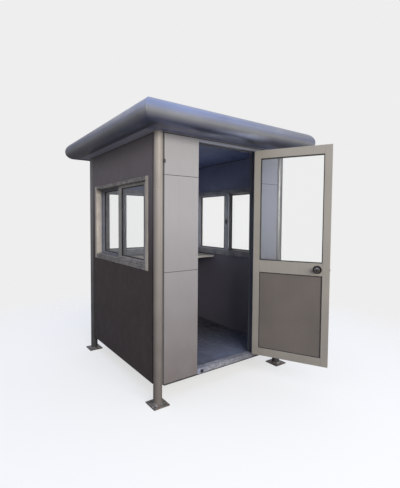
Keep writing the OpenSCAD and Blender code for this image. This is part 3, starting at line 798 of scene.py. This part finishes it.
deck_low, deck_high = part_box("roof_deck")
lap_bm = bmesh.new()
lap_screws = bmesh.new()
lap_half, lap_top, lap_end, lap_rows = 0.022, deck_high.z + 0.0018, 0.06, 12
lap_pitch = (deck_high.y - deck_low.y - 2 * lap_end) / (lap_rows - 1)
for x in (-0.30, 0.30):
    block(lap_bm, (x - lap_half, deck_low.y + 0.012, deck_high.z - 0.0005),
        (x + lap_half, deck_high.y - 0.012, lap_top), 0.0007)
    for row in range(lap_rows):
        y = deck_low.y + lap_end + row * lap_pitch
        for across in (-0.013, 0.013):
            screw_head(lap_screws, Matrix.Translation((x + across, y, lap_top)), 0.0045)
finish_piece("roof_lap_strips", lap_bm, roof_coat)
finish_piece("roof_screws", lap_screws, bolt_steel)
bead_bm = bmesh.new()
bead_w, bead_low, bead_high = 0.009, deck_high.z - 0.001, deck_high.z + 0.0035
for sign in (-1, 1):
    x0, x1 = sorted((sign * deck_high.x, sign * (deck_high.x - bead_w)))
    block(bead_bm, (x0, deck_low.y, bead_low), (x1, deck_high.y, bead_high), 0.0016)
    y0, y1 = sorted((sign * deck_high.y, sign * (deck_high.y - bead_w)))
    block(bead_bm, (deck_low.x + bead_w, y0, bead_low), (deck_high.x - bead_w, y1, bead_high), 0.0016)
finish_piece("roof_sealant", bead_bm, black_rubber)

trim_bm = bmesh.new()
soffit_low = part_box("soffit")[0].z
wall_x, wall_y = -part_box("left_wall")[0].x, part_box("back_wall")[1].y
end_x, end_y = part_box("back_wall")[1].x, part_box("left_wall")[1].y
trim_thick, trim_low = 0.003, soffit_low - 0.005
for sign in (-1, 1):
    y0, y1 = sorted((sign * wall_y, sign * (wall_y - trim_thick)))
    block(trim_bm, (-end_x, y0, trim_low), (end_x, y1, soffit_low), 0.0006)
    x0, x1 = sorted((sign * wall_x, sign * (wall_x - trim_thick)))
    block(trim_bm, (x0, -end_y, trim_low), (x1, end_y, soffit_low), 0.0006)
finish_piece("soffit_trim", trim_bm, sash_alu)

# ---------------------------------------------------------------- door
# A glazed door of silver-beige coated sections: two stiles with three rails between them,
# a clear pane over a grey panel, and black gaskets. It hangs on three hinges.
hinge = frame["joints"][0]
pin = Vector(hinge["pos_m"])
open_angle = math.radians(-hinge["range_deg"][0])
open_turn = Matrix.Translation(pin) @ Matrix.Rotation(open_angle, 4, "Z") @ Matrix.Translation(-pin)
close_turn = open_turn.inverted()


def closed_box(name):
    """The corners of one of the door's CAD nodes, with the door closed."""
    places = [close_turn @ vert.co for vert in frame["nodes"][name].data.vertices]
    return [Vector([pick(place[axis] for place in places) for axis in range(3)])
        for pick in (min, max)]


door_coat = coated("door_coat", (0.395, 0.372, 0.33), 0.40, 0.2, shade=0.94, streak=0.1,
    grime=(0.19, 0.172, 0.145), grime_top=1.5, grime_share=0.45)
leaf_low, leaf_high = closed_box("door_leaf")
pane_low, pane_high = closed_box("door_glass")
panel_low, panel_high = closed_box("door_panel")
bm = bmesh.new()
gap = 0.0007
for x0, x1 in ((leaf_low.x, pane_low.x), (pane_high.x, leaf_high.x)):
    block(bm, (x0, leaf_low.y, leaf_low.z), (x1, leaf_high.y, leaf_high.z), 0.0018, 3)
for z0, z1 in ((leaf_low.z, panel_low.z), (panel_high.z, pane_low.z), (pane_high.z, leaf_high.z)):
    block(bm, (pane_low.x + gap, leaf_low.y, z0), (pane_high.x - gap, leaf_high.y, z1), 0.0018, 3)
bmesh.ops.transform(bm, matrix=open_turn, verts=bm.verts)
door_sections = finish_piece("door_sections", bm, door_coat, "door")
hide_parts("door_leaf")

door_infill = coated("door_infill", (0.180, 0.160, 0.146), 0.45, 0.2, grime_share=0.15, streak=0.1)
dress(door_infill, "door_panel")
dress(clear_glass, "door_glass")
dress(black_rubber, "door_gaskets")
ease(0.0012, "door_gaskets")

# ---------------------------------------------------------------- lock
# A round knob set: a dark ringed rose and a bright polished knob on each face of the
# door, spun from brass and plated, with a turn button inside and a keyway outside.
bright_plate = two_toned("bright_plate", (0.40, 0.37, 0.35), (0.27, 0.25, 0.235), patch=0.01,
    metallic=1.0, roughness=0.16, grain=0.0006, depth=0.00001)
dark_plate = two_toned("dark_plate", (0.055, 0.05, 0.047), (0.035, 0.033, 0.03), patch=0.01,
    metallic=0.7, roughness=0.25, grain=0.0006, depth=0.00001)
knobs_low, knobs_high = closed_box("door_knobs")
knob_x, knob_z = (knobs_low.x + knobs_high.x) / 2, (knobs_low.z + knobs_high.z) / 2
rose_r = (knobs_high.x - knobs_low.x) / 2
knob_reach = knobs_high.y - leaf_high.y
roses = bmesh.new()
knobs = bmesh.new()
rose = [(0.0, 0.0), (rose_r, 0.0), (rose_r, 0.003), (rose_r - 0.002, 0.006),
    (rose_r - 0.006, 0.0085), (rose_r - 0.012, 0.0095), (rose_r - 0.014, 0.008),
    (0.020, 0.0075), (0.017, 0.010), (0.0, 0.010)]
knob = [(0.0, 0.009), (0.0145, 0.009), (0.0135, 0.020), (0.0145, 0.027), (0.020, 0.031),
    (0.0248, 0.037), (0.026, 0.044), (0.0252, 0.050), (0.0225, 0.0545), (0.0175, 0.0567),
    (0.0165, 0.0560), (0.0155, 0.0567), (0.010, knob_reach - 0.0006), (0.0, knob_reach)]
for door_face, angle in ((leaf_high.y, -math.pi / 2), (leaf_low.y, math.pi / 2)):
    out = Matrix.Translation((knob_x, door_face, knob_z)) @ Matrix.Rotation(angle, 4, "X")
    lathe(roses, rose, open_turn @ out)
    lathe(knobs, knob, open_turn @ out)
finish_piece("knob_roses", roses, dark_plate, "door", True)
turned_knobs = finish_piece("polished_knobs", knobs, bright_plate, "door", True)
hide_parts("door_knobs")

proud = 0.0022
button = bmesh.new()
block(button, (knob_x - 0.0025, knobs_high.y - proud, knob_z - 0.0085),
    (knob_x + 0.0025, knobs_high.y, knob_z + 0.0085), 0.0008)
block(button, (knob_x - 0.0012, knobs_low.y + 0.0002, knob_z - 0.0065),
    (knob_x + 0.0012, knobs_low.y + proud, knob_z + 0.0065), 0.0004)
bmesh.ops.transform(button, matrix=open_turn, verts=button.verts)
finish_piece("lock_button_and_keyway", button, dark_plate, "door")

# ---------------------------------------------------------------- hinges and latch
# Three steel butt hinges with capped pins and countersunk screws. A latch plate with a
# spring bolt is let into the door's free edge, and its keep is screwed to the jamb.
brass_plate = two_toned("brass_plate", (0.16, 0.115, 0.085), (0.09, 0.065, 0.05), patch=0.008,
    metallic=0.6, roughness=0.45, grain=0.0008, depth=0.00002)
hinge_steel = two_toned("hinge_steel", (0.42, 0.41, 0.40), (0.30, 0.29, 0.28), patch=0.01,
    metallic=0.9, roughness=0.35, grain=0.001, depth=0.00003, drawn=(1, 1, 0.1))
dress(hinge_steel, "hinge_fixed_leaves", "hinge_door_leaves")
dress(brass_plate, "door_latch")

out_front = Matrix.Rotation(math.pi / 2, 4, "X")
out_left = Matrix.Rotation(-math.pi / 2, 4, "Y")
out_right = Matrix.Rotation(math.pi / 2, 4, "Y")
hinge_verts = frame["nodes"]["hinge_fixed_leaves"].data.vertices
heights = sorted({round(vert.co.z, 4) for vert in hinge_verts})
hinge_tops = [z for z, after in zip(heights, heights[1:] + [9]) if after - z > 0.3]
hinge_h, strap_out, screw_across, hinge_screw_r = 0.1, 0.007, 0.0225, 0.0042
pin_cap = [(0.0, 0.0), (0.0058, 0.0), (0.0056, 0.0012), (0.0040, 0.0028), (0.0018, 0.0034),
    (0.0, 0.0036)]
fixed_screws = bmesh.new()
caps = bmesh.new()
door_screws = bmesh.new()
for hinge_top in hinge_tops:
    for upright, end in ((0, hinge_top), (math.pi, hinge_top - hinge_h)):
        cap_place = Matrix.Translation((pin.x, pin.y, end)) @ Matrix.Rotation(upright, 4, "X")
        lathe(caps, pin_cap, cap_place, 24)
    for drop in (0.016, 0.050, 0.084):
        for bm, across in ((fixed_screws, screw_across), (door_screws, -screw_across)):
            spot = Matrix.Translation((pin.x + across, pin.y + strap_out, hinge_top - drop))
            screw_head(bm, spot @ out_front, hinge_screw_r)
finish_piece("hinge_pin_caps", caps, hinge_steel, smooth=True)
finish_piece("hinge_screws_on_jamb", fixed_screws, bolt_steel)
bmesh.ops.transform(door_screws, matrix=open_turn, verts=door_screws.verts)
finish_piece("hinge_screws_on_door", door_screws, bolt_steel, "door")

plate_low, plate_high = closed_box("door_latch")
plate_mid = (plate_low + plate_high) / 2
bolt = bmesh.new()
latch_screw_r = 0.0035
block(bolt, (plate_low.x - 0.003, plate_mid.y - 0.006, plate_mid.z - 0.009),
    (plate_low.x + 0.001, plate_mid.y + 0.006, plate_mid.z + 0.009), 0.0009)
for drop in (-0.022, 0.022):
    spot = Matrix.Translation((plate_low.x, plate_mid.y, plate_mid.z + drop))
    screw_head(bolt, spot @ out_left, latch_screw_r)
bmesh.ops.transform(bolt, matrix=open_turn, verts=bolt.verts)
finish_piece("latch_bolt", bolt, brass_plate, "door")

jamb_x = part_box("front_panel_left_low")[1].x
keep_face = jamb_x + 0.001
keep_y, hole_y, hole_z = 0.0125, 0.0075, 0.011
keep = bmesh.new()
for z0, z1 in ((-0.029, -hole_z), (hole_z, 0.029)):
    block(keep, (jamb_x, plate_mid.y - keep_y, plate_mid.z + z0),
        (keep_face, plate_mid.y + keep_y, plate_mid.z + z1), 0.0004)
    spot = Matrix.Translation((keep_face, plate_mid.y, plate_mid.z + (z0 + z1) / 2))
    screw_head(keep, spot @ out_right, latch_screw_r)
for y0, y1 in ((-keep_y, -hole_y), (hole_y, keep_y)):
    block(keep, (jamb_x, plate_mid.y + y0, plate_mid.z - hole_z),
        (keep_face, plate_mid.y + y1, plate_mid.z + hole_z), 0.0004)
finish_piece("latch_keep", keep, bolt_steel)
# The hole in the keep is a thin near-black plate, painted shade for the hole.
keep_hole = bmesh.new()
block(keep_hole, (jamb_x, plate_mid.y - hole_y, plate_mid.z - hole_z),
    (jamb_x + 0.0004, plate_mid.y + hole_y, plate_mid.z + hole_z), 0.0001, 1)
finish_piece("latch_keep_hole", keep_hole, hole_shade)
